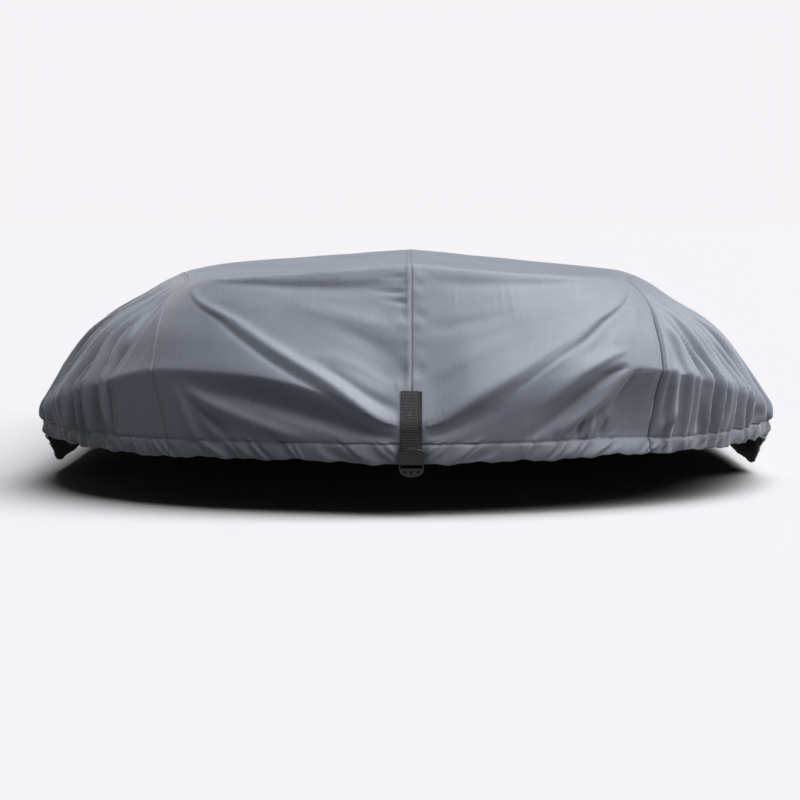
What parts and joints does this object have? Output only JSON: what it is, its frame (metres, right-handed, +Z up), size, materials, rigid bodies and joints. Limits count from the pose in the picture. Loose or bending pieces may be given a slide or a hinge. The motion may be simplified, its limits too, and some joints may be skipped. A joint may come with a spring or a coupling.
{
  "type": "boat cover",
  "caption": "Fitted cloth cover for an inflatable dinghy: two-piece top, gathered side panels with an elastic hem, and a webbing strap with a buckle at the bow.",
  "frame": {"origin": "on the centre line, under the top of the cloth half way along the boat, where the cover rests on the boat", "axes": "+Z up, +Y from bow to stern, +X to port"},
  "size_m": [1.5525, 3.0013, 0.4686],
  "materials": {
    "cover_cloth": "grey coated polyester, low sheen",
    "webbing": "black ribbed webbing",
    "buckle_moulding": "black moulded plastic, satin"
  },
  "bodies": {
    "root": {"middle_panel_starboard": "cover_cloth", "middle_panel_port": "cover_cloth", "side_panel_starboard": "cover_cloth", "side_panel_port": "cover_cloth", "bow_webbing": "webbing", "bow_buckle": "buckle_moulding"}
  },
  "joints": []
}
